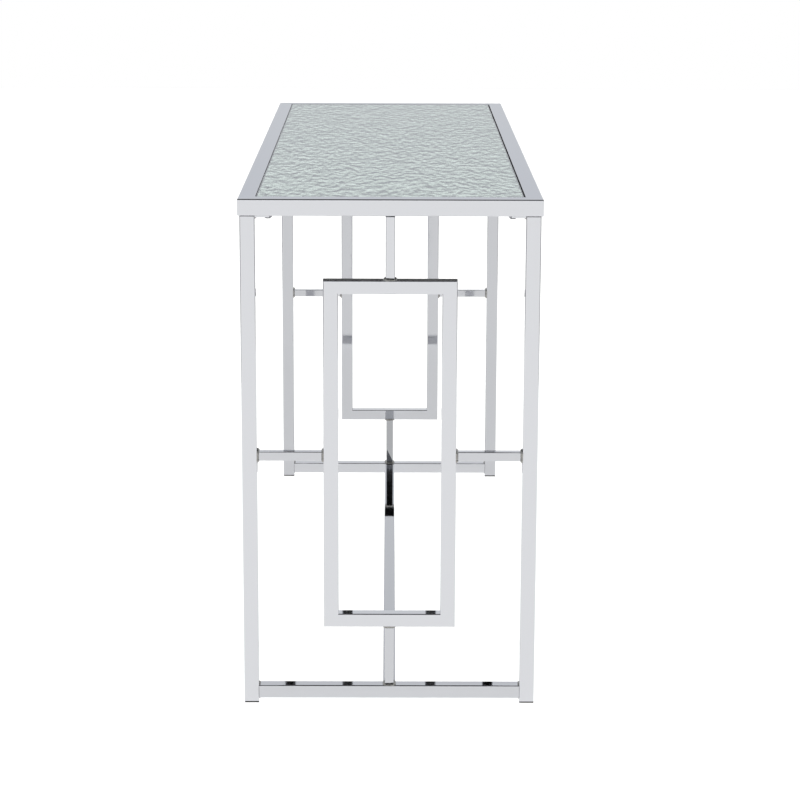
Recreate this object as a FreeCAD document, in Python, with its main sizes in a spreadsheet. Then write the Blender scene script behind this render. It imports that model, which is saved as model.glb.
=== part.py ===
import FreeCAD, Part
import math
import os
import re
import Sketcher
from FreeCAD import Placement, Rotation, Vector

# Console table: an inset glass top in a frame of plated square tube, carried by two welded end
# frames that a low stretcher ties together.
# Millimetres. X runs along the table, Y across it from front to back, Z up.
# The origin is on the floor, under the middle of the table.

doc = FreeCAD.newDocument("ConsoleTable")

dimensions = [
    ("tableLength", 1372, "over the ends of the top frame"),
    ("tableWidth", 440, "over the long sides of the top frame"),
    ("tableHeight", 762, "floor to the top face of the top frame"),
    ("topTube", 25, "side of the top frame's square tube"),
    ("wall", 1.2, "wall thickness of every tube"),
    ("topCorner", 2.2, "outside corner radius of the top frame's tubes"),
    ("corner", 1.5, "outside corner radius of the end frames' tubes"),
    ("smallCorner", 1, "outside corner radius of the connectors and the stretcher"),
    ("legInset", 3, "from the top frame's long side in to the legs"),
    ("uprightWidth", 22, "legs and rectangle sides, across the table"),
    ("crossHeight", 20, "bottom rail and rectangle crosspieces, height"),
    ("frameDepth", 20, "every end frame member, along the table"),
    ("railGap", 7.5, "floor to the underside of the bottom rails"),
    ("rectangleWidth", 195, "over the rectangle's sides"),
    ("rectangleHeight", 523.5, "over the rectangle's crosspieces"),
    ("rectangleFloor", 119.5, "floor to the underside of the rectangle"),
    ("connector", 13.5, "side of the four connectors' square tube"),
    ("connectorLevel", 380.5, "floor to the middle of the side connectors"),
    ("stretcherTube", 19, "side of the stretcher's square tube"),
    ("spigotPlay", 0.4, "between a spigot and the stretcher's bore, all round"),
    ("spigotLength", 25, "spigot inside each end of the stretcher"),
    ("tabLength", 25, "mounting tab, from the leg inwards"),
    ("tabWidth", 18, "mounting tab, along the table"),
    ("tabThickness", 2.5, "mounting tab plate"),
    ("tabCorner", 6, "radius of the tab's free corners"),
    ("tabReach", 18.5, "from the leg to the middle of the tab's screw hole"),
    ("screwShank", 4.8, "diameter of the screw under its thread crests"),
    ("screwLength", 12, "under the head"),
    ("screwHead", 9, "diameter of the button head"),
    ("screwHeadHeight", 2.4, "height of the button head"),
    ("screwHeadRound", 1.6, "radius of the button head's rim"),
    ("socketSize", 3, "hexagon socket, across its corners"),
    ("socketDepth", 1.4, "hexagon socket"),
    ("clearHole", 5.5, "clearance hole for a screw"),
    ("threadBore", 5, "bore of a threaded insert or spigot"),
    ("insertSize", 7.9, "outside diameter of a threaded insert"),
    ("insertHole", 8, "hole for a threaded insert"),
    ("insertLength", 12, "threaded insert"),
    ("legPad", 1, "thickness of the black pad between a leg and the top frame"),
    ("connectorPad", 2, "thickness of the black pad between a connector and the top frame"),
    ("connectorTwist", 2.5, "degrees that the left bottom connector is welded out of square"),
    ("footThickness", 2.5, "glide under the leg"),
    ("footMargin", 0.3, "from the leg's outside in to the glide's edge"),
    ("footRound", 1, "radius round the glide's lower edge"),
    ("plugHeight", 12, "glide's plug inside the leg"),
    ("plugPlay", 0.2, "between the plug and the leg's bore, all round"),
    ("glassThickness", 5, "tempered glass"),
    ("glassArris", 0.6, "ground edge of the glass"),
    ("glassDrop", 0.5, "top of the frame down to the glass"),
    ("glassGap", 1.2, "between the glass and the frame, all round, when it is centred"),
    ("glassShift", 0.6, "how far the loose panel lies off centre, towards the front"),
    ("foilThickness", 0.5, "patterned silver foil under the glass"),
    ("boardThickness", 3, "black hardboard under the foil"),
    ("bumperThickness", 1.5, "clear bumper under the board"),
    ("bumperSize", 10, "diameter of a clear bumper"),
    ("bumperSpread", 560, "from the middle out to a ledge's end bumpers"),
    ("bumperSpan", 60, "from the middle out to a cross bar's bumpers"),
    ("ledgeWidth", 12, "flat strip inside the top frame"),
    ("ledgeThickness", 2, "flat strip inside the top frame"),
    ("crossBarWidth", 30, "flat bar under the board"),
    ("crossBarThickness", 4, "flat bar under the board"),
    ("crossBarSpread", 230, "from the middle of the table to each cross bar"),
    ("bead", 3, "leg of the weld beads round the connectors"),
    ("beadToe", 0.4, "thickness of a weld bead at its edge"),
    ("railBead", 2.5, "leg of the weld beads on the bottom rail"),
    ("tabBeadDrop", 6, "height of the weld under a tab"),
    ("tabBeadReach", 3.5, "reach of the weld under a tab"),
]

sheet = doc.addObject("Spreadsheet::Sheet", "Sizes")
for row, (name, value, note) in enumerate(dimensions, start=1):
    sheet.set("A%d" % row, name)
    sheet.set("B%d" % row, str(value))
    sheet.set("C%d" % row, note)
    sheet.setAlias("B%d" % row, name)
doc.recompute()

xAxis, yAxis, zAxis = Vector(1, 0, 0), Vector(0, 1, 0), Vector(0, 0, 1)
ends = {"right": 1, "left": -1}
sides = {"front": -1, "back": 1}
twisted = Rotation(zAxis, sheet.get("connectorTwist")).multVec(xAxis)
connectorFacing = {"right": xAxis, "left": twisted}
tolerance = 0.01
nodes = []

# Levels and places that several pieces share, as formulas of the sheet's names.
frameTop = "(tableHeight - topTube)"
endMiddle = "(tableLength / 2 - topTube / 2)"
legMiddle = "(tableWidth / 2 - legInset - uprightWidth / 2)"
legInside = "(tableWidth / 2 - legInset - uprightWidth)"
legTop = "(tableHeight - topTube - legPad)"
railLevel = "(railGap + crossHeight / 2)"
railTop = "(railGap + crossHeight)"
railInside = "(tableLength / 2 - topTube / 2 - frameDepth / 2)"
rectangleTop = "(rectangleFloor + rectangleHeight)"
wellLength = "(tableLength - 2 * topTube)"
wellWidth = "(tableWidth - 2 * topTube)"
foilTop = "(tableHeight - glassDrop - glassThickness)"
boardTop = "(tableHeight - glassDrop - glassThickness - foilThickness)"
bumperTop = "(tableHeight - glassDrop - glassThickness - foilThickness - boardThickness)"
ledgeTop = bumperTop[:-1] + " - bumperThickness)"
ledgeRow = "(tableWidth / 2 - topTube - ledgeWidth / 2)"
endRow = "(tableLength / 2 - topTube - ledgeWidth / 2)"
screwSpread = "(tableWidth / 2 - legInset - uprightWidth - tabReach)"
tabFloor = "(tableHeight - topTube - tabThickness)"


def bind(item, setting, formula):
    """Ties a size or a coordinate to the sheet; every word in the formula is one of its names."""
    item.setExpression(setting, re.sub(r"[A-Za-z]\w*", r"Sizes.\g<0>", formula))


def place(item, x="0", y="0", z="0", along=xAxis, outward=yAxis):
    """Turns a piece so that its own X and Y point along and outward, and moves its origin."""
    item.Placement = Placement(Vector(), Rotation(along, outward, along.cross(outward), "XYZ"))
    for axis, formula in zip("xyz", (x, y, z)):
        bind(item, "Placement.Base." + axis, formula)


def signed(sign, formula):
    return formula if sign > 0 else "-1 * " + formula


def keep(item, name):
    """Marks an object as one of the table's own pieces, under the name of its file."""
    item.Label = name
    nodes.append(item)
    return item


# A sketch starts from rough points this far apart, and its named dimensions then set the real size.
rough = 10


def newSketch(body, plane, name):
    origin = [feature for feature in body.Origin.OriginFeatures if feature.Role == plane][0]
    sketch = body.newObject("Sketcher::SketchObject", body.Name + name)
    sketch.AttachmentSupport = [(origin, "")]
    sketch.MapMode = "FlatFace"
    return sketch


def constrain(sketch, name, formula, *constraint):
    """Adds a dimension with a name, driven by the sheet."""
    index = sketch.addConstraint(Sketcher.Constraint(*constraint))
    sketch.renameConstraint(index, name)
    bind(sketch, "Constraints." + name, formula)


def drawPolygon(sketch, points):
    """Closes a chain of lines through the points and returns the first line's number."""
    first = sketch.GeometryCount
    count = len(points)
    for start, end in zip(points, points[1:] + points[:1]):
        sketch.addGeometry(Part.LineSegment(Vector(*start, 0), Vector(*end, 0)))
    for step in range(count):
        corner = (first + step, 2, first + (step + 1) % count, 1)
        sketch.addConstraint(Sketcher.Constraint("Coincident", *corner))
    return first


def drawRectangle(sketch, name, width, height):
    """A rectangle centred on the sketch's origin."""
    bottom = drawPolygon(sketch, [(-rough, -rough), (rough, -rough), (rough, rough), (-rough, rough)])
    right, top, left = bottom + 1, bottom + 2, bottom + 3
    for direction, lines in (("Horizontal", (bottom, top)), ("Vertical", (right, left))):
        for line in lines:
            sketch.addConstraint(Sketcher.Constraint(direction, line))
    sketch.addConstraint(Sketcher.Constraint("Symmetric", bottom, 1, right, 2, -1, 1))
    constrain(sketch, name + "Width", width, "DistanceX", bottom, 1, bottom, 2, 2 * rough)
    constrain(sketch, name + "Height", height, "DistanceY", right, 1, right, 2, 2 * rough)


def drawCircle(sketch, name, diameter, x=None):
    """A circle at the sketch's origin, or at x on its horizontal axis."""
    circle = sketch.addGeometry(Part.Circle(Vector(rough if x else 0, 0, 0), zAxis, rough))
    constrain(sketch, name + "Across", diameter, "Diameter", circle, 2 * rough)
    if x:
        sketch.addConstraint(Sketcher.Constraint("PointOnObject", circle, 3, -1))
        constrain(sketch, name + "Offset", x, "DistanceX", -1, 1, circle, 3, rough)
    else:
        sketch.addConstraint(Sketcher.Constraint("Coincident", circle, 3, -1, 1))


def drawHexagon(sketch, name, across):
    """A regular hexagon in a construction circle round the sketch's origin."""
    turns = [math.tau * step / 6 for step in range(6)]
    first = drawPolygon(sketch, [(rough * math.cos(turn), rough * math.sin(turn)) for turn in turns])
    circle = sketch.addGeometry(Part.Circle(Vector(), zAxis, rough), True)
    sketch.addConstraint(Sketcher.Constraint("Coincident", circle, 3, -1, 1))
    for step in range(6):
        sketch.addConstraint(Sketcher.Constraint("PointOnObject", first + step, 1, circle))
        if step:
            sketch.addConstraint(Sketcher.Constraint("Equal", first, first + step))
    sketch.addConstraint(Sketcher.Constraint("PointOnObject", first, 1, -1))
    constrain(sketch, name + "Across", across, "Diameter", circle, 2 * rough)


def pad(body, sketch, length, symmetric=True, downward=False):
    feature = body.newObject("PartDesign::Pad", sketch.Name + "Pad")
    feature.Profile = sketch
    feature.SideType = "Symmetric" if symmetric else "One side"
    feature.Reversed = downward
    bind(feature, "Length", length)
    return feature


def pocket(body, sketch, symmetric=True):
    """Cuts right through, both ways from the sketch or only towards its underside."""
    feature = body.newObject("PartDesign::Pocket", sketch.Name + "Pocket")
    feature.Profile = sketch
    feature.Type = "ThroughAll"
    feature.SideType = "Symmetric" if symmetric else "One side"
    return feature


def mirror(body, features, plane="YZ_Plane"):
    origin = [feature for feature in body.Origin.OriginFeatures if feature.Role == plane][0]
    mirrored = body.newObject("PartDesign::Mirrored", body.Name + "Mirrored")
    mirrored.Originals = features
    mirrored.MirrorPlane = (origin, [""])
    body.Tip = mirrored
    return mirrored


def isUpright(edge):
    box = edge.BoundBox
    return box.ZLength > box.XLength + box.YLength


def roundEdges(body, base, radius, chosen):
    """Fillets the edges of the base feature that the test picks."""
    doc.recompute()
    edges = ["Edge%d" % number for number, edge in enumerate(base.Shape.Edges, start=1) if chosen(edge)]
    fillet = body.newObject("PartDesign::Fillet", base.Name + "Rounding")
    fillet.Base = (base, edges)
    bind(fillet, "Radius", radius)
    body.Tip = fillet
    return fillet


def squareTube(name, length, across, depth, radius="corner"):
    """A hollow tube along its own X: across is its size in Y and depth its size in Z."""
    body = keep(doc.addObject("PartDesign::Body", name), name)
    section = newSketch(body, "YZ_Plane", "Section")
    drawRectangle(section, "outer", across, depth)
    drawRectangle(section, "inner", across + " - 2 * wall", depth + " - 2 * wall")
    tube = pad(body, section, length)
    doc.recompute()
    halfDepth = tube.Shape.BoundBox.ZLength / 2

    def outerLongEdge(edge):
        box = edge.BoundBox
        return box.XLength > box.YLength + box.ZLength and abs(abs(box.Center.z) - halfDepth) < tolerance

    roundEdges(body, tube, radius, outerLongEdge)
    return body


def mitre(body, length, across, run):
    """Cuts both ends of a tube from its outer corners back by the width of the tube that it meets."""
    sketch = newSketch(body, "XY_Plane", "Mitre")
    tip, root = 6 * rough, 4 * rough
    end = drawPolygon(sketch, [(tip, rough), (tip, -rough), (root, -rough)])
    inner = end + 1
    sketch.addConstraint(Sketcher.Constraint("Vertical", end))
    sketch.addConstraint(Sketcher.Constraint("Horizontal", inner))
    constrain(sketch, "reach", length + " / 2", "DistanceX", -1, 1, end, 1, tip)
    constrain(sketch, "level", across + " / 2", "DistanceY", -1, 1, end, 1, rough)
    constrain(sketch, "drop", across, "DistanceY", end, 2, end, 1, 2 * rough)
    constrain(sketch, "run", run, "DistanceX", inner, 2, inner, 1, tip - root)
    return pocket(body, sketch)


def plate(name, length, width, thickness):
    """A flat plate centred on its own origin."""
    body = keep(doc.addObject("PartDesign::Body", name), name)
    outline = newSketch(body, "XY_Plane", "Outline")
    drawRectangle(outline, "plate", length, width)
    pad(body, outline, thickness)
    return body


def group(name, members):
    """Several identical solids that share one node."""
    compound = doc.addObject("Part::Compound", name)
    compound.Links = members
    return keep(compound, name)


def topRails():
    """The top frame: four mitred tubes; the end ones are drilled underneath for the inserts."""
    for side, sign in sides.items():
        outward = yAxis * sign
        rail = squareTube("top_%s_rail" % side, "tableLength", "topTube", "topTube", "topCorner")
        cut = mitre(rail, "tableLength", "topTube", "topTube")
        mirror(rail, [cut])
        place(rail, "0", signed(sign, "(tableWidth / 2 - topTube / 2)"), "tableHeight - topTube / 2",
              outward.cross(zAxis), outward)
    for end, sign in ends.items():
        outward = xAxis * sign
        rail = squareTube("top_%s_rail" % end, "tableWidth", "topTube", "topTube", "topCorner")
        cut = mitre(rail, "tableWidth", "topTube", "topTube")
        drilling = newSketch(rail, "XY_Plane", "Drilling")
        drawCircle(drilling, "insert", "insertHole", screwSpread)
        mirror(rail, [cut, pocket(rail, drilling, symmetric=False)])
        place(rail, signed(sign, endMiddle), "0", "tableHeight - topTube / 2",
              outward.cross(zAxis), outward)


def glassPanel():
    """The glass, the foil that shows through it and the board that backs them."""
    length, width = wellLength + " - 2 * glassGap", wellWidth + " - 2 * glassGap"
    glass = plate("glass_top", length, width, "glassThickness")
    roundEdges(glass, glass.Tip, "glassArris", lambda edge: True)
    place(glass, "0", "-1 * glassShift", "tableHeight - glassDrop - glassThickness / 2")
    foil = plate("silver_foil", length, width, "foilThickness")
    place(foil, "0", "-1 * glassShift", foilTop + " - foilThickness / 2")
    board = plate("backing_board", length, width, "boardThickness")
    place(board, "0", "-1 * glassShift", boardTop + " - boardThickness / 2")


def panelSupports():
    """Flat strips welded inside the top frame, and two cross bars between them."""
    between = wellWidth + " - 2 * ledgeWidth"
    level = ledgeTop + " - ledgeThickness / 2"
    for side, sign in sides.items():
        ledge = plate(side + "_ledge", wellLength, "ledgeWidth", "ledgeThickness")
        place(ledge, "0", signed(sign, ledgeRow), level)
    for end, sign in ends.items():
        ledge = plate(end + "_ledge", "ledgeWidth", between, "ledgeThickness")
        place(ledge, signed(sign, endRow), "0", level)
        bar = plate(end + "_cross_bar", "crossBarWidth", between, "crossBarThickness")
        place(bar, signed(sign, "crossBarSpread"), "0", ledgeTop + " - crossBarThickness / 2")


def glassBumpers():
    """Clear bumpers on the ledges and cross bars, which the panel lies on."""
    spots = []
    for end in ends.values():
        spots.append((signed(end, endRow), "0"))
        for side in sides.values():
            spots.append((signed(end, "bumperSpread"), signed(side, ledgeRow)))
            spots.append((signed(end, "crossBarSpread"), signed(side, "bumperSpan")))
    for side in sides.values():
        spots.append(("0", signed(side, ledgeRow)))
    bumpers = []
    for number, (x, y) in enumerate(spots, start=1):
        bumper = doc.addObject("Part::Cylinder", "bumper%d" % number)
        bind(bumper, "Radius", "bumperSize / 2")
        bind(bumper, "Height", "bumperThickness")
        place(bumper, x, y, ledgeTop)
        bumpers.append(bumper)
    group("glass_bumpers", bumpers)


def legs():
    for end, endSign in ends.items():
        for side, sideSign in sides.items():
            name = "%s_%s_leg" % (end, side)
            leg = squareTube(name, legTop + " - footThickness", "uprightWidth", "frameDepth")
            place(leg, signed(endSign, endMiddle), signed(sideSign, legMiddle),
                  "(" + legTop + " + footThickness) / 2", zAxis, yAxis * sideSign)
            footGlide(end, side, endSign, sideSign)


def footGlide(end, side, endSign, sideSign):
    """A moulded glide: a sole as big as the leg and a plug that fills the end of its bore."""
    name = "%s_%s_foot_glide" % (end, side)
    body = keep(doc.addObject("PartDesign::Body", name), name)
    sole = newSketch(body, "XY_Plane", "Sole")
    drawRectangle(sole, "sole", "frameDepth - 2 * footMargin", "uprightWidth - 2 * footMargin")
    base = pad(body, sole, "footThickness", symmetric=False)
    doc.recompute()
    roundEdges(body, base, "footRound", lambda edge: edge.BoundBox.ZMax < tolerance)
    plug = newSketch(body, "XY_Plane", "Plug")
    play = " - 2 * wall - 2 * plugPlay"
    drawRectangle(plug, "plug", "frameDepth" + play, "uprightWidth" + play)
    pad(body, plug, "footThickness + plugHeight", symmetric=False)
    place(body, signed(endSign, endMiddle), signed(sideSign, legMiddle), "0")


def topPads():
    """Black pads that keep the end frames' plating off the top frame's."""
    for end, endSign in ends.items():
        x = signed(endSign, endMiddle)
        for side, sideSign in sides.items():
            leaf = plate("%s_%s_leg_pad" % (end, side), "frameDepth", "uprightWidth", "legPad")
            roundEdges(leaf, leaf.Tip, "corner", isUpright)
            place(leaf, x, signed(sideSign, legMiddle), frameTop + " - legPad / 2")
        leaf = plate(end + "_connector_pad", "connector", "connector", "connectorPad")
        roundEdges(leaf, leaf.Tip, "smallCorner", isUpright)
        place(leaf, x, "0", frameTop + " - connectorPad / 2")


def bottomRails():
    for end, sign in ends.items():
        rail = squareTube(end + "_bottom_rail", "2 * " + legInside, "crossHeight", "frameDepth")
        place(rail, signed(sign, endMiddle), "0", railLevel, yAxis, zAxis)


def rectangles():
    """The tall rectangle in each end frame: two crosspieces and two sides, all mitred."""
    middle = "(rectangleFloor + rectangleHeight / 2)"
    for end, sign in ends.items():
        x = signed(sign, endMiddle)
        for level, up in (("top", 1), ("bottom", -1)):
            name = "%s_rectangle_%s" % (end, level)
            bar = squareTube(name, "rectangleWidth", "crossHeight", "frameDepth")
            mirror(bar, [mitre(bar, "rectangleWidth", "crossHeight", "uprightWidth")])
            z = middle + (" + " if up > 0 else " - ") + "(rectangleHeight - crossHeight) / 2"
            place(bar, x, "0", z, yAxis, zAxis * up)
        for side, sideSign in sides.items():
            name = "%s_rectangle_%s" % (end, side)
            upright = squareTube(name, "rectangleHeight", "uprightWidth", "frameDepth")
            mirror(upright, [mitre(upright, "rectangleHeight", "uprightWidth", "crossHeight")])
            y = signed(sideSign, "(rectangleWidth / 2 - uprightWidth / 2)")
            place(upright, x, y, middle, zAxis, yAxis * sideSign)


def connectors():
    """Short thin tubes: rectangle to each leg, to the top frame and to the bottom rail."""
    sideLength = "(" + legInside + " - rectangleWidth / 2)"
    for end, sign in ends.items():
        x = signed(sign, endMiddle)
        for side, sideSign in sides.items():
            name = "%s_%s_side_connector" % (end, side)
            tube = squareTube(name, sideLength, "connector", "connector", "smallCorner")
            y = signed(sideSign, "(rectangleWidth / 2 + " + sideLength + " / 2)")
            place(tube, x, y, "connectorLevel", yAxis, zAxis)
        uprights = (("top", rectangleTop, "(" + frameTop + " - connectorPad)", xAxis),
                    ("bottom", railTop, "rectangleFloor", connectorFacing[end]))
        for level, foot, head, facing in uprights:
            name = "%s_%s_connector" % (end, level)
            tube = squareTube(name, head + " - " + foot, "connector", "connector", "smallCorner")
            place(tube, x, "0", "(" + head + " + " + foot + ") / 2", zAxis, zAxis.cross(facing))


def stretcher():
    """The low tube between the end frames, drilled underneath near both ends for its screws."""
    length = "2 * " + railInside
    tube = squareTube("stretcher", length, "stretcherTube", "stretcherTube", "smallCorner")
    drilling = newSketch(tube, "XY_Plane", "Drilling")
    drawCircle(drilling, "screw", "clearHole", railInside + " - spigotLength / 2")
    mirror(tube, [pocket(tube, drilling, symmetric=False)])
    place(tube, z=railLevel)


def spigots():
    """A stub on each bottom rail that slides inside the stretcher and takes its screw."""
    across = "stretcherTube - 2 * wall - 2 * spigotPlay"
    for end, sign in ends.items():
        spigot = plate(end + "_stretcher_spigot", "spigotLength", across, across)
        drilling = newSketch(spigot, "XY_Plane", "Drilling")
        drawCircle(drilling, "thread", "threadBore")
        pocket(spigot, drilling)
        place(spigot, signed(sign, "(" + railInside + " - spigotLength / 2)"), "0", railLevel)


def mountingTabs():
    """A plate beside each leg's top, with rounded free corners and a screw hole."""
    for end, endSign in ends.items():
        for side, sideSign in sides.items():
            tab = plate("%s_%s_top_tab" % (end, side), "tabLength", "tabWidth", "tabThickness")
            roundEdges(tab, tab.Tip, "tabCorner",
                       lambda edge: isUpright(edge) and edge.BoundBox.XMin > 0)
            drilling = newSketch(tab, "XY_Plane", "Drilling")
            drawCircle(drilling, "screw", "clearHole", "tabReach - tabLength / 2")
            pocket(tab, drilling)
            y = signed(sideSign, "(" + legInside + " - tabLength / 2)")
            place(tab, signed(endSign, endMiddle), y, frameTop + " - tabThickness / 2",
                  yAxis * -sideSign, xAxis)


def buttonScrew(name):
    """A screw on its head: the seat under the head is at its own origin, the shank points up."""
    body = doc.addObject("PartDesign::Body", name)
    headSketch = newSketch(body, "XY_Plane", "Head")
    drawCircle(headSketch, "head", "screwHead")
    head = pad(body, headSketch, "screwHeadHeight", symmetric=False, downward=True)
    doc.recompute()
    roundEdges(body, head, "screwHeadRound", lambda edge: edge.BoundBox.ZMax < -tolerance)
    shankSketch = newSketch(body, "XY_Plane", "Shank")
    drawCircle(shankSketch, "shank", "screwShank")
    pad(body, shankSketch, "screwLength", symmetric=False)
    socket = newSketch(body, "XY_Plane", "Socket")
    drawHexagon(socket, "socket", "socketSize")
    bind(socket, "AttachmentOffset.Base.z", "socketDepth - screwHeadHeight")
    pocket(body, socket, symmetric=False)
    return body


def fasteners():
    """Screws up through the tabs into inserts in the top frame, and up into the spigots."""
    topScrews, inserts = [], []
    for end, endSign in ends.items():
        for side, sideSign in sides.items():
            x, y = signed(endSign, endMiddle), signed(sideSign, screwSpread)
            screw = buttonScrew("topScrew_%s_%s" % (end, side))
            place(screw, x, y, tabFloor)
            topScrews.append(screw)
            insert = doc.addObject("PartDesign::Body", "insert_%s_%s" % (end, side))
            ring = newSketch(insert, "XY_Plane", "Ring")
            drawCircle(ring, "outer", "insertSize")
            drawCircle(ring, "bore", "threadBore")
            pad(insert, ring, "insertLength", symmetric=False)
            place(insert, x, y, frameTop)
            inserts.append(insert)
    group("top_screws", topScrews)
    group("thread_inserts", inserts)
    stretcherScrews = []
    for end, sign in ends.items():
        screw = buttonScrew("stretcherScrew_" + end)
        place(screw, signed(sign, "(" + railInside + " - spigotLength / 2)"), "0",
              railLevel + " - stretcherTube / 2")
        stretcherScrews.append(screw)
    group("stretcher_screws", stretcherScrews)


def wedge(name, limits):
    """A tapered block; limits gives each of its sides as a formula, or 0."""
    block = doc.addObject("Part::Wedge", name)
    for side, formula in limits.items():
        if formula:
            bind(block, side, formula)
        else:
            setattr(block, side, 0)
    return block


def collarBead(name, x, y, z, away, across):
    """A weld bead all round the foot of a connector; away points along the connector."""
    foot, toe = "(connector / 2 + bead)", "(connector / 2 + beadToe)"
    frustum = wedge(name + "_slope", {
        "Xmin": "-1 * " + foot, "Xmax": foot, "Zmin": "-1 * " + foot, "Zmax": foot,
        "X2min": "-1 * " + toe, "X2max": toe, "Z2min": "-1 * " + toe, "Z2max": toe,
        "Ymin": 0, "Ymax": "bead"})
    hollow = doc.addObject("Part::Box", name + "_hollow")
    for setting in ("Length", "Height"):
        bind(hollow, setting, "connector")
    bind(hollow, "Width", "bead")
    for setting in ("Placement.Base.x", "Placement.Base.z"):
        bind(hollow, setting, "-connector / 2")
    collar = doc.addObject("Part::Cut", name)
    collar.Base, collar.Tool = frustum, hollow
    place(collar, x, y, z, across, away)
    return collar


def seamBead(name, length, reach, rise, x, y, z, along, away):
    """A straight weld bead in a corner: it reaches outward along one face and rises up the other."""
    back, front = "-" + length + " / 2", length + " / 2"
    seam = wedge(name, {
        "Xmin": 0, "Xmax": reach, "X2min": 0, "X2max": "beadToe", "Ymin": 0, "Ymax": rise,
        "Zmin": back, "Zmax": front, "Z2min": back, "Z2max": front})
    place(seam, x, y, z, along, away)
    return seam


def endWelds():
    """Every bead on an end frame: round the connectors, on the bottom rail's ends and under the tabs."""
    for end, endSign in ends.items():
        x = signed(endSign, endMiddle)
        facing = connectorFacing[end]
        spots = [("0", rectangleTop, zAxis, xAxis), ("0", "rectangleFloor", -zAxis, facing),
                 ("0", railTop, zAxis, facing)]
        for sign in sides.values():
            spots.append((signed(sign, "(rectangleWidth / 2)"), "connectorLevel", yAxis * sign, xAxis))
            spots.append((signed(sign, legInside), "connectorLevel", yAxis * -sign, xAxis))
        beads = []
        for number, (y, z, away, across) in enumerate(spots, start=1):
            beads.append(collarBead("%s_collar%d" % (end, number), x, y, z, away, across))
        for side, sign in sides.items():
            y = signed(sign, legInside)
            inward = yAxis * -sign
            for level, z, away in (("above", railTop, zAxis), ("below", "railGap", -zAxis)):
                name = "%s_%s_%s" % (end, side, level)
                beads.append(seamBead(name, "(frameDepth - 2 * corner)", "railBead", "railBead",
                                      x, y, z, inward, away))
            name = "%s_%s_under_tab" % (end, side)
            beads.append(seamBead(name, "tabWidth", "tabBeadReach", "tabBeadDrop",
                                  x, y, tabFloor, inward, -zAxis))
        group(end + "_end_welds", beads)


def checkAndWrite():
    """Stops on any failed object or bad shape, then writes one file for each piece."""
    doc.recompute()
    failed = [item.Name for item in doc.Objects if {"Invalid", "Error"} & set(item.State)]
    bad = [item.Label for item in nodes if item.Shape.isNull() or not item.Shape.isValid()]
    if failed or bad:
        raise RuntimeError("failed objects %s, bad shapes %s" % (failed, bad))
    os.makedirs("parts", exist_ok=True)
    for item in nodes:
        item.Shape.exportStep("parts/%s.step" % item.Label)
        box = item.Shape.BoundBox
        print("%-28s solids %2d  volume %10.0f  x %8.2f %8.2f  y %8.2f %8.2f  z %7.2f %7.2f" % (
            item.Label, len(item.Shape.Solids), item.Shape.Volume,
            box.XMin, box.XMax, box.YMin, box.YMax, box.ZMin, box.ZMax))
    print("%d pieces" % len(nodes))


topRails()
glassPanel()
panelSupports()
glassBumpers()
legs()
topPads()
bottomRails()
rectangles()
connectors()
stretcher()
spigots()
mountingTabs()
fasteners()
endWelds()
checkAndWrite()
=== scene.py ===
import math

import bmesh
import bpy
from mathutils import Matrix, Vector, noise


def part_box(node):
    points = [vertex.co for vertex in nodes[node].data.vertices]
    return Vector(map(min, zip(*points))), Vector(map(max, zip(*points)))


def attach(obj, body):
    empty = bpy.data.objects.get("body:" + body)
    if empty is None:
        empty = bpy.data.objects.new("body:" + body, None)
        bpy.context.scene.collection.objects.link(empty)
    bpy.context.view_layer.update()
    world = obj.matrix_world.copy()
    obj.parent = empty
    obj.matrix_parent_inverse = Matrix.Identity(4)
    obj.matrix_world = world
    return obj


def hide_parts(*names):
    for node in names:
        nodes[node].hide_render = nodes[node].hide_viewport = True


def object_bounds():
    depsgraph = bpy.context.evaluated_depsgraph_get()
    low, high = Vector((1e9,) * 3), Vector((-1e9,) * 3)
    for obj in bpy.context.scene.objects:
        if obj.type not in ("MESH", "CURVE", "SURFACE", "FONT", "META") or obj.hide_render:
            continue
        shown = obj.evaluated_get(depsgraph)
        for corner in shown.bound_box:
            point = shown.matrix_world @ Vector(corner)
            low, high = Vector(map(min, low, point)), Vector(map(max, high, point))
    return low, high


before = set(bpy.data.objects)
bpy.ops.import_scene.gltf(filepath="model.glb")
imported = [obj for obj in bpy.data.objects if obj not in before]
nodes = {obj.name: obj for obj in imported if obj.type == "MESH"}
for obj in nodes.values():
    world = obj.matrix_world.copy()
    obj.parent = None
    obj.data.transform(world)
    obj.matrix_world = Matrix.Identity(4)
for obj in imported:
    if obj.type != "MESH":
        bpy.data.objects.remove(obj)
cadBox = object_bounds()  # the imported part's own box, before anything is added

# A console table of polished chrome tube. Its top is glass over rippled silver foil, and it stands on
# black glides. Everything is in metres: X runs along the table, Y across it, and the floor is at z = 0.

scene = bpy.context.scene
mm = 0.001
cadHigh = cadBox[1]


# sRGB hex to the linear values that shaders work in
def paint(code):
    parts = [int(code[at:at + 2], 16) / 255 for at in (1, 3, 5)]
    return tuple(v / 12.92 if v <= 0.04045 else ((v + 0.055) / 1.055) ** 2.4 for v in parts) + (1.0,)


# adds one node, with its options, the values on its sockets and the links into them
def addNode(tree, kind, options=None, values=None, links=None):
    node = tree.nodes.new(kind)
    for name, value in (options or {}).items():
        setattr(node, name, value)
    for name, value in (values or {}).items():
        node.inputs[name].default_value = value
    for name, source in (links or {}).items():
        tree.links.new(source, node.inputs[name])
    return node


# a material with a Principled shader, and a noise pattern read in the part's own metres
def newMaterial(name, settings):
    material = bpy.data.materials.new(name)
    material.use_nodes = True
    tree = material.node_tree
    tree.nodes.clear()
    place = addNode(tree, "ShaderNodeTexCoord").outputs["Object"]
    shader = addNode(tree, "ShaderNodeBsdfPrincipled", values=settings)
    addNode(tree, "ShaderNodeOutputMaterial", links={"Surface": shader.outputs["BSDF"]})
    return material, tree, place, shader


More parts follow.
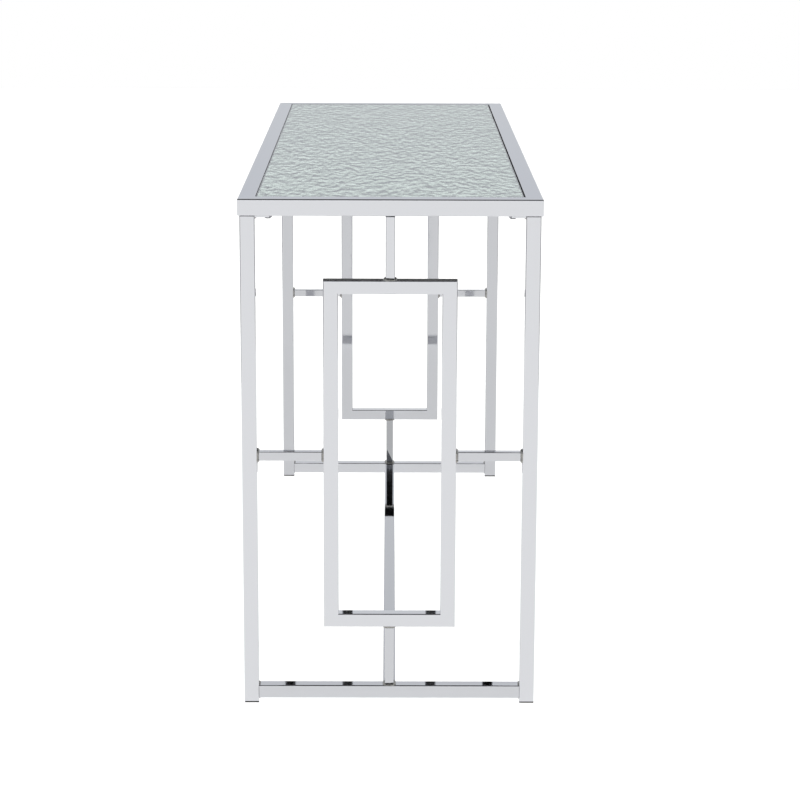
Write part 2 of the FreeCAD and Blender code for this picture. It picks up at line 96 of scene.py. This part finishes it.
# noise whose lumps are about this many millimetres across; more detail adds finer ones
def lumps(tree, place, size, detail):
    return addNode(tree, "ShaderNodeTexNoise", values={"Scale": 1 / (size * mm), "Detail": detail},
                   links={"Vector": place}).outputs["Fac"]


# turns a pattern's middle range into the range that a socket needs
def spread(tree, pattern, low, high):
    return addNode(tree, "ShaderNodeMapRange",
                   values={"From Min": 0.3, "From Max": 0.7, "To Min": low, "To Max": high},
                   links={"Value": pattern}).outputs["Result"]


# gives a surface fine relief, this many millimetres deep
def roughen(tree, shader, pattern, depth):
    bump = addNode(tree, "ShaderNodeBump", values={"Strength": 1.0, "Distance": depth * mm},
                   links={"Height": pattern})
    tree.links.new(bump.outputs["Normal"], shader.inputs["Normal"])


cameraSetup = {
    "distance": 3.397,  # from the near end of the table
    "sideways": -0.0014,
    "height": 1.239,
    "pitch": 12.80,  # degrees down
    "yaw": 0.27,
    "roll": 0.21,
    "lens": 107.5,
    "sensor": 36.0,
    "reach": 60,  # m
}


def makeCamera():
    data = bpy.data.cameras.new("tableCamera")
    data.lens = cameraSetup["lens"]
    data.sensor_width = cameraSetup["sensor"]
    data.clip_end = cameraSetup["reach"]
    camera = bpy.data.objects.new("tableCamera", data)
    scene.collection.objects.link(camera)
    pitch, yaw, roll = (math.radians(cameraSetup[name]) for name in ("pitch", "yaw", "roll"))
    forward = Vector((-math.cos(pitch) * math.cos(yaw), math.cos(pitch) * math.sin(yaw), -math.sin(pitch)))
    level = forward.cross(Vector((0, 0, 1))).normalized()
    raised = level.cross(forward)
    right = math.cos(roll) * level + math.sin(roll) * raised
    up = right.cross(forward)
    camera.rotation_euler = Matrix((right, up, -forward)).transposed().to_euler()
    camera.location = (cadHigh.x + cameraSetup["distance"], cameraSetup["sideways"], cameraSetup["height"])
    scene.camera = camera


makeCamera()
scene.view_settings.view_transform = "Standard"
print("camera: set", cameraSetup["height"], "m above the floor")


studio = {
    "paper": "#F4F4F3",
    "paperLength": 18.0,
    "paperWidth": 4.8,
    "paperGrain": 3.0,  # mm
    "paperGrainHeight": 0.02,  # mm
    "paperRoughness": (0.85, 0.95),
    "lampHeight": 3.0,
    "fillPower": 3.6,  # even light that casts no shadow, so the paper stays white all over
    "softboxPower": 0.8,  # overhead light whose soft shadow shows only in the chrome's reflections
    "softboxSpread": 120,  # degrees across
    "darkness": 0.01,  # the unlit room above and behind the camera
    # the dark part's outer edge and where it is fully dark, as parts of a direction
    "darkAlong": (-0.30, 0.45),
    "darkAcross": (0.42, 0.30),
    "darkHeight": (0.232, 0.255),
}
# brightness of the studio walls and ceiling for each height, from straight down to straight up
studioSteps = [
    (-1.00, (0.35, 0.35, 0.36)),
    (-0.20, (0.35, 0.35, 0.36)),
    (-0.09, (0.55, 0.55, 0.57)),
    (-0.02, (0.88, 0.89, 0.90)),
    (0.03, (0.70, 0.72, 0.74)),
    (0.145, (0.665, 0.69, 0.74)),
    (0.175, (1.15, 1.17, 1.17)),
    (0.215, (1.15, 1.17, 1.17)),
    (0.24, (0.88, 0.90, 0.93)),
    (0.34, (0.88, 0.90, 0.93)),
    (0.45, (1.05, 1.07, 1.08)),
    (1.00, (0.90, 0.90, 0.92)),
]


def makeWorld():
    world = bpy.data.worlds.new("paleStudio")
    scene.world = world
    world.use_nodes = True
    tree = world.node_tree
    tree.nodes.clear()
    direction = addNode(tree, "ShaderNodeTexCoord").outputs["Generated"]
    parts = addNode(tree, "ShaderNodeSeparateXYZ", links={"Vector": direction}).outputs
    height = addNode(tree, "ShaderNodeMapRange", values={"From Min": -1, "From Max": 1},
                     links={"Value": parts["Z"]}).outputs["Result"]
    walls = addNode(tree, "ShaderNodeValToRGB", links={"Fac": height})
    ramp = walls.color_ramp
    while len(ramp.elements) < len(studioSteps):
        ramp.elements.new(0.5)
    for element, (level, shade) in zip(ramp.elements, studioSteps):
        element.position = (level + 1) / 2
        element.color = (*shade, 1)
    sideways = addNode(tree, "ShaderNodeMath", {"operation": "ABSOLUTE"}, links={0: parts["Y"]}).outputs[0]
    mask = None
    for part, name in ((parts["X"], "darkAlong"), (sideways, "darkAcross"), (parts["Z"], "darkHeight")):
        start, finish = studio[name]
        soft = addNode(tree, "ShaderNodeMapRange", {"interpolation_type": "SMOOTHSTEP"},
                       {"From Min": start, "From Max": finish}, {"Value": part}).outputs["Result"]
        mask = soft if mask is None else addNode(
            tree, "ShaderNodeMath", {"operation": "MULTIPLY"}, links={0: mask, 1: soft}).outputs[0]
    dark = studio["darkness"]
    room = addNode(tree, "ShaderNodeMix", {"data_type": "RGBA"}, {"B": (dark, dark, dark, 1)},
                   {"Factor": mask, "A": walls.outputs["Color"]})
    reflected = addNode(tree, "ShaderNodeBackground", links={"Color": room.outputs["Result"]})
    seen = addNode(tree, "ShaderNodeBackground", values={"Color": (1, 1, 1, 1)})
    direct = addNode(tree, "ShaderNodeLightPath").outputs["Is Camera Ray"]
    mixed = addNode(tree, "ShaderNodeMixShader",
                    links={"Fac": direct, 1: reflected.outputs[0], 2: seen.outputs[0]})
    addNode(tree, "ShaderNodeOutputWorld", links={"Surface": mixed.outputs[0]})
    world.cycles_visibility.diffuse = False  # the two lamps alone light the paper


# matt background paper, white and evenly lit: it is what most of the chrome reflects
def makeFloor():
    halfLength, halfWidth = studio["paperLength"] / 2, studio["paperWidth"] / 2
    corners = [(-halfLength, -halfWidth, 0), (halfLength, -halfWidth, 0),
               (halfLength, halfWidth, 0), (-halfLength, halfWidth, 0)]
    mesh = bpy.data.meshes.new("paperFloor")
    mesh.from_pydata(corners, [], [(0, 1, 2, 3)])
    floor = bpy.data.objects.new("paperFloor", mesh)
    scene.collection.objects.link(floor)
    material, tree, place, shader = newMaterial("backgroundPaper", {"Base Color": paint(studio["paper"])})
    grain = lumps(tree, place, studio["paperGrain"], detail=3)
    tree.links.new(spread(tree, grain, *studio["paperRoughness"]), shader.inputs["Roughness"])
    roughen(tree, shader, grain, studio["paperGrainHeight"])
    mesh.materials.append(material)


def makeLamp(name, power, spread, shadow):
    data = bpy.data.lights.new(name, "SUN")
    data.energy = power
    data.angle = math.radians(spread)
    data.use_shadow = shadow
    lamp = bpy.data.objects.new(name, data)
    lamp.location = (0, 0, studio["lampHeight"])
    lamp.visible_glossy = False
    lamp.visible_transmission = False
    scene.collection.objects.link(lamp)


makeWorld()
makeFloor()
makeLamp("evenFill", studio["fillPower"], 0, False)
makeLamp("overheadSoftbox", studio["softboxPower"], studio["softboxSpread"], True)
print("studio: paper floor, walls and lamps made")


# Bright chrome plate on polished steel tube. The eye gets a mirror with a cool grey cast, a faint haze that
# comes and goes, and long shallow waves in the tube's walls.
chrome = {
    "colour": "#C5C6CA",
    "slightShade": "#BABBBF",  # a slightly darker copy, painted shade on the reflections of most connectors and the bottom rails
    "moreShade": "#B4B5B9",  # darker still, painted shade on the reflections of the rest of the left end frame and the stretcher
    "thin": "#9C9DA0",  # the darkest copy, painted shade on the reflections of the left bottom connector
    "thinLean": 1.0,  # degrees that this one's shading leans, with no change to its shape
    "roughness": (0.015, 0.045),
    "haze": 22,  # mm
    "wave": 110,  # mm between the waves left by the tube mill
    "waveHeight": 0.008,  # mm
}


def chromePlate(name, colour, lean=0):
    material, tree, place, shader = newMaterial(name, {"Metallic": 1.0, "Base Color": paint(colour)})
    haze = lumps(tree, place, chrome["haze"], detail=4)
    tree.links.new(spread(tree, haze, *chrome["roughness"]), shader.inputs["Roughness"])
    height = lumps(tree, place, chrome["wave"], detail=1)
    if lean:
        across = addNode(tree, "ShaderNodeSeparateXYZ", links={"Vector": place}).outputs["Y"]
        slope = -math.tan(math.radians(lean)) / (chrome["waveHeight"] * mm)
        height = addNode(tree, "ShaderNodeMath", {"operation": "MULTIPLY_ADD"}, {1: slope},
                         {0: across, 2: height}).outputs[0]
    roughen(tree, shader, height, chrome["waveHeight"])
    return material


# Chrome plate over a rippled weld bead. It is the same metal, duller and rougher, because plating follows
# each ripple and scratch beneath it.
weldLook = {
    "colour": "#8F8E8B",
    "roughness": (0.12, 0.32),
    "grain": 1.2,  # mm
    "grainHeight": 0.12,  # mm
}


def platedWeld():
    material, tree, place, shader = newMaterial("platedWeld", {
        "Metallic": 1.0, "Base Color": paint(weldLook["colour"])})
    grain = lumps(tree, place, weldLook["grain"], detail=4)
    tree.links.new(spread(tree, grain, *weldLook["roughness"]), shader.inputs["Roughness"])
    roughen(tree, shader, grain, weldLook["grainHeight"])
    return material


# Tempered float glass, 5 mm thick with polished edges. Its iron gives a slight green, and the furnace
# rollers leave very shallow waves.
glassLook = {
    "colour": "#EEF7F1",
    "ior": 1.52,
    "wave": 180,  # mm
    "waveHeight": 0.02,  # mm
    "film": 30,  # mm across the faint patches of wiped film
    "roughness": (0.0, 0.02),
}


def temperedGlass():
    material, tree, place, shader = newMaterial("temperedGlass", {
        "Base Color": paint(glassLook["colour"]), "Transmission Weight": 1.0, "IOR": glassLook["ior"]})
    film = lumps(tree, place, glassLook["film"], detail=3)
    tree.links.new(spread(tree, film, *glassLook["roughness"]), shader.inputs["Roughness"])
    roughen(tree, shader, lumps(tree, place, glassLook["wave"], detail=1), glassLook["waveHeight"])
    return material


# Silver leaf bonded under the glass: a soft metallic sheen, cooler and darker in patches where it is thin.
foilLook = {
    "bright": "#F4F9F4",
    "dull": "#E5ECE5",
    "patch": 40,  # mm
    "roughness": (0.03, 0.07),
    "crinkle": 4,  # mm
    "crinkleHeight": 0.02,  # mm
}


def silverLeaf():
    material, tree, place, shader = newMaterial("silverLeaf", {"Metallic": 1.0})
    patches = lumps(tree, place, foilLook["patch"], detail=3)
    tone = addNode(tree, "ShaderNodeMix", {"data_type": "RGBA"},
                   {"A": paint(foilLook["dull"]), "B": paint(foilLook["bright"])},
                   {"Factor": spread(tree, patches, 0, 1)})
    tree.links.new(tone.outputs["Result"], shader.inputs["Base Color"])
    crinkle = lumps(tree, place, foilLook["crinkle"], detail=3)
    tree.links.new(spread(tree, crinkle, *foilLook["roughness"]), shader.inputs["Roughness"])
    roughen(tree, shader, crinkle, foilLook["crinkleHeight"])
    return material


# What each of the plainer materials is, and what it gives the eye:
plainLooks = {
    # hardboard with black sealer: matt, with pressed fibres
    "sealedHardboard": {
        "tones": ("#0C0C0C", "#171615"), "roughness": (0.55, 0.8), "grain": 1.5, "height": 0.15},
    # black powder coat on mild steel: satin, slightly pebbled
    "blackPowderCoat": {
        "tones": ("#101011", "#18181A"), "roughness": (0.35, 0.5), "grain": 0.9, "height": 0.03},
    # moulded black polyethylene: waxy, scuffed where it slides
    "mouldedPolyethylene": {
        "tones": ("#0B0B0C", "#181819"), "roughness": (0.35, 0.6), "grain": 2.0, "height": 0.05},
    # zinc plate on screws: dull and slightly blue grey
    "dullZincPlate": {
        "tones": ("#5B5D60", "#77797B"), "roughness": (0.3, 0.5), "grain": 0.8, "height": 0.02,
        "metal": 1.0},
    # clear silicone bumpers: cloudy and soft edged
    "cloudySilicone": {
        "tones": ("#C9CDCC", "#DDE0DF"), "roughness": (0.25, 0.4), "grain": 3.0, "height": 0.02,
        "clear": 0.8},
}


def plainMaterial(name):
    look = plainLooks[name]
    material, tree, place, shader = newMaterial(name, {
        "Metallic": look.get("metal", 0.0), "Transmission Weight": look.get("clear", 0.0)})
    grain = lumps(tree, place, look["grain"], detail=4)
    tone = addNode(tree, "ShaderNodeMix", {"data_type": "RGBA"},
                   {"A": paint(look["tones"][0]), "B": paint(look["tones"][1])},
                   {"Factor": spread(tree, grain, 0, 1)})
    tree.links.new(tone.outputs["Result"], shader.inputs["Base Color"])
    tree.links.new(spread(tree, grain, *look["roughness"]), shader.inputs["Roughness"])
    roughen(tree, shader, grain, look["height"])
    return material


finishes = {
    "chromed_steel": chromePlate("brightChromePlate", chrome["colour"]),
    # the three darker copies of the bright plate below paint shade onto the reflections of the parts that
    # wear them
    "slightly_shaded_chrome": chromePlate("slightlyShadedChromePlate", chrome["slightShade"]),
    "more_shaded_chrome": chromePlate("moreShadedChromePlate", chrome["moreShade"]),
    "thin_chrome": chromePlate("thinChromePlate", chrome["thin"], chrome["thinLean"]),
    "plated_weld": platedWeld(),
    "textured_glass": temperedGlass(),
    "silver_foil": silverLeaf(),
    "black_hardboard": plainMaterial("sealedHardboard"),
    "black_painted_steel": plainMaterial("blackPowderCoat"),
    "black_polyethylene": plainMaterial("mouldedPolyethylene"),
    "clear_silicone": plainMaterial("cloudySilicone"),
    "zinc_plated_steel": plainMaterial("dullZincPlate"),
}


# words in the pieces' names, and the finish that each of them means
kinds = {
    "glide": "black_polyethylene", "pad": "black_polyethylene", "screw": "zinc_plated_steel",
    "insert": "zinc_plated_steel", "spigot": "zinc_plated_steel", "bumper": "clear_silicone",
    "board": "black_hardboard", "ledge": "black_painted_steel", "cross_bar": "black_painted_steel",
    "glass_top": "textured_glass", "foil": "silver_foil", "welds": "plated_weld",
    # the darker chrome copies named here paint shade onto these parts' reflections
    "stretcher": "more_shaded_chrome", "bottom_rail": "slightly_shaded_chrome", "right_top_connector": "chromed_steel",
    "left_bottom_connector": "thin_chrome",
    "left": "more_shaded_chrome", "connector": "slightly_shaded_chrome",
}


# every carried-over piece gets the material of its kind
def dressNodes():
    for name, node in nodes.items():
        finish = next((kinds[word] for word in kinds if word in name), "chromed_steel")
        node.data.materials.clear()
        node.data.materials.append(finishes[finish])


dressNodes()
print("materials:", len(finishes), "finishes on", len(nodes), "pieces")


foil = {
    "step": (3.6, 1.9),  # mm between points, along and across the table
    "cell": (22, 7),  # mm along and across, for the broad ripples
    "fineCell": (11, 3.8),  # mm, for the fine ripples
    "relief": 0.45,  # mm from crest to hollow
    "fineShare": 0.4,
    "wander": 4,  # broad ripples from one sideways drift to the next
    "slices": (7.3, 1.7, 4.1),  # where the drift, broad and fine noises are cut: others give a new pattern
    "bond": 0.15,  # mm that the lowest hollow stands inside the glass
}


def rippleHeight(x, y):
    along, across = (size * mm for size in foil["cell"])
    fineAlong, fineAcross = (size * mm for size in foil["fineCell"])
    drift, broadCut, fineCut = foil["slices"]
    slow = foil["wander"]
    wander = noise.noise(Vector((x / (slow * along), y / (slow * across), drift)))
    broad = noise.noise(Vector((x / along + wander, y / across, broadCut)))
    small = noise.noise(Vector((x / fineAlong, y / fineAcross + wander, fineCut)))
    share = foil["fineShare"]
    return 0.5 + 0.5 * ((1 - share) * broad + share * small)


def makeFoil():
    low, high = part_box("silver_foil")
    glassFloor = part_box("glass_top")[0].z
    stepAlong, stepAcross = (step * mm for step in foil["step"])
    across = round((high.x - low.x) / stepAlong)
    deep = round((high.y - low.y) / stepAcross)
    shape = bmesh.new()
    base = glassFloor + foil["bond"] * mm
    grid = []
    for i in range(across + 1):
        x = low.x + (high.x - low.x) * i / across
        row = []
        for j in range(deep + 1):
            y = low.y + (high.y - low.y) * j / deep
            row.append(shape.verts.new((x, y, base + foil["relief"] * mm * rippleHeight(x, y))))
        grid.append(row)
    for i in range(across):
        for j in range(deep):
            shape.faces.new((grid[i][j], grid[i + 1][j], grid[i + 1][j + 1], grid[i][j + 1])).smooth = True
    # the underside is flat, in strips from one long edge to the other
    under = [[shape.verts.new((row[side].co.x, row[side].co.y, low.z)) for side in (0, -1)] for row in grid]
    for i in range(across):
        shape.faces.new((under[i][0], under[i][1], under[i + 1][1], under[i + 1][0]))
        shape.faces.new((grid[i][0], under[i][0], under[i + 1][0], grid[i + 1][0]))
        shape.faces.new((grid[i + 1][-1], under[i + 1][1], under[i][1], grid[i][-1]))
    shape.faces.new([under[0][0]] + grid[0] + [under[0][1]])
    shape.faces.new([under[-1][1]] + grid[-1][::-1] + [under[-1][0]])
    bmesh.ops.recalc_face_normals(shape, faces=shape.faces)
    mesh = bpy.data.meshes.new("rippledFoil")
    shape.to_mesh(mesh)
    shape.free()
    mesh.materials.append(finishes["silver_foil"])
    sheet = bpy.data.objects.new("rippledFoil", mesh)
    scene.collection.objects.link(sheet)
    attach(sheet, "root")
    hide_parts("silver_foil")
    print("foil:", len(mesh.vertices), "points")


makeFoil()


bead = {
    "collarRadius": 3.3,  # mm, round each connector
    "corner": 1.5,  # mm, where a collar turns
    "twist": {"left_bottom_connector": 2.5},  # degrees that a connector stands out of square
    "seamRadius": 2.2,
    "tabRadius": 2.6,
    "spacing": 0.7,  # mm between rings
    "ripple": 1.9,  # mm from one ripple to the next
    "rippleDepth": 0.13,
    "unevenness": 0.16,
    "unevenLength": 6,  # mm
    "endSharpness": 6,  # a higher power gives blunter ends
    "endSize": 0.2,  # share of the radius left at each end
    "seamMargin": 4,  # mm that a bottom rail's seam is shorter than the rail is wide
    "tabMargin": 2,
    "ringPoints": 12,
    "firstSeeds": {"right": 1, "left": 40},  # each bead counts on from here
    "seedSpacing": 3.7,
}


# points round a connector's outline, at even steps, with the corners rounded
def outline(centre, wide, tall, half, corner):
    points = []
    step = bead["spacing"] * mm
    inner = half - corner
    corners = [(inner, inner, 0), (-inner, inner, 90), (-inner, -inner, 180), (inner, -inner, 270)]
    for index, (u, v, start) in enumerate(corners):
        arcSteps = max(3, round(corner * math.pi / 2 / step))
        for turn in range(arcSteps + 1):
            angle = math.radians(start + 90 * turn / arcSteps)
            points.append((u + corner * math.cos(angle), v + corner * math.sin(angle)))
        nextU, nextV, nextStart = corners[(index + 1) % 4]
        angle = math.radians(nextStart)
        finish = (nextU + corner * math.cos(angle), nextV + corner * math.sin(angle))
        begin = points[-1]
        runSteps = max(1, round(math.dist(begin, finish) / step))
        for turn in range(1, runSteps):
            share = turn / runSteps
            points.append([a + (b - a) * share for a, b in zip(begin, finish)])
    return [centre + wide * u + tall * v for u, v in points]


# a rippled bead along a line of points, closed on itself or rounded off at both ends
def sweepBead(shape, points, away, radius, closed, seed):
    rings = []
    travelled = 0
    count = len(points)
    for index, point in enumerate(points):
        before = points[index - 1] if closed or index else points[0]
        after = points[(index + 1) % count] if closed or index < count - 1 else points[-1]
        if index:
            travelled += (point - points[index - 1]).length
        along = (after - before).normalized()
        outward = along.cross(away)
        phase = travelled / (bead["ripple"] * mm) * math.pi
        lump = travelled / (bead["unevenLength"] * mm)
        uneven = noise.noise(Vector((lump, seed * bead["seedSpacing"], 0.5)))
        size = radius * (1 - bead["rippleDepth"] * abs(math.sin(phase)) + bead["unevenness"] * uneven)
        if not closed:
            share = abs(2 * index / (count - 1) - 1)
            size *= math.sqrt(max(1 - share ** bead["endSharpness"], bead["endSize"] ** 2))
        ring = []
        for turn in range(bead["ringPoints"]):
            angle = 2 * math.pi * turn / bead["ringPoints"]
            radial = math.cos(angle) * outward + math.sin(angle) * away
            ring.append(shape.verts.new(point + size * radial))
        rings.append(ring)
    last = count if closed else count - 1
    for index in range(last):
        ring, following = rings[index], rings[(index + 1) % count]
        for turn in range(bead["ringPoints"]):
            beside = (turn + 1) % bead["ringPoints"]
            shape.faces.new((ring[turn], following[turn], following[beside], ring[beside])).smooth = True
    if not closed:
        shape.faces.new(rings[0])
        shape.faces.new(rings[-1][::-1])


def straightPoints(middle, along, length):
    count = max(2, round(length / (bead["spacing"] * mm)))
    return [middle + along * length * (index / count - 0.5) for index in range(count + 1)]


# a collar round one end of a connector; away points along the connector
def collar(shape, name, centre, across, away, half, seed):
    turn = Matrix.Rotation(math.radians(bead["twist"].get(name, 0)), 3, "Z")
    wide = turn @ across
    tall = turn @ away.cross(across)
    ring = outline(centre, wide, tall, half, bead["corner"] * mm)
    sweepBead(shape, ring, away, bead["collarRadius"] * mm, True, seed)


def makeWelds(end):
    xAxis, yAxis, zAxis = Vector((1, 0, 0)), Vector((0, 1, 0)), Vector((0, 0, 1))
    shape = bmesh.new()
    seed = bead["firstSeeds"][end]
    low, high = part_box(end + "_top_connector")
    half = (high.x - low.x) / 2
    for level, ways in (("top", (zAxis,)), ("bottom", (zAxis, -zAxis))):
        name = end + "_" + level + "_connector"
        low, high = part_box(name)
        for away in ways:
            z = low.z if away.z > 0 else high.z
            centre = Vector(((low.x + high.x) / 2, (low.y + high.y) / 2, z))
            collar(shape, name, centre, xAxis, away, half, seed)
            seed += 1
    for side in ("front", "back"):
        name = end + "_" + side + "_side_connector"
        low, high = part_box(name)
        for y, away in ((low.y, yAxis), (high.y, -yAxis)):
            centre = Vector(((low.x + high.x) / 2, y, (low.z + high.z) / 2))
            collar(shape, name, centre, xAxis, away, half, seed)
            seed += 1
        # across the bottom rail's end, above and below, and under the mounting tab
        legLow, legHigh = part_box(end + "_" + side + "_leg")
        railLow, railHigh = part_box(end + "_bottom_rail")
        tabLow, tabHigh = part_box(end + "_" + side + "_top_tab")
        inner = legHigh.y if side == "front" else legLow.y
        seamLength = railHigh.x - railLow.x - bead["seamMargin"] * mm
        tabLength = tabHigh.x - tabLow.x - bead["tabMargin"] * mm
        for z, radius, length in ((railHigh.z, bead["seamRadius"], seamLength),
                                  (railLow.z, bead["seamRadius"], seamLength),
                                  (tabLow.z, bead["tabRadius"], tabLength)):
            line = straightPoints(Vector(((railLow.x + railHigh.x) / 2, inner, z)), xAxis, length)
            sweepBead(shape, line, zAxis, radius * mm, False, seed)
            seed += 1
    bmesh.ops.recalc_face_normals(shape, faces=shape.faces)
    mesh = bpy.data.meshes.new(end + "WeldBeads")
    shape.to_mesh(mesh)
    shape.free()
    mesh.materials.append(finishes["plated_weld"])
    beads = bpy.data.objects.new(end + "WeldBeads", mesh)
    scene.collection.objects.link(beads)
    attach(beads, "root")
    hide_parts(end + "_end_welds")
    print("welds:", end, "end,", len(mesh.vertices), "points")


for end in ("right", "left"):
    makeWelds(end)
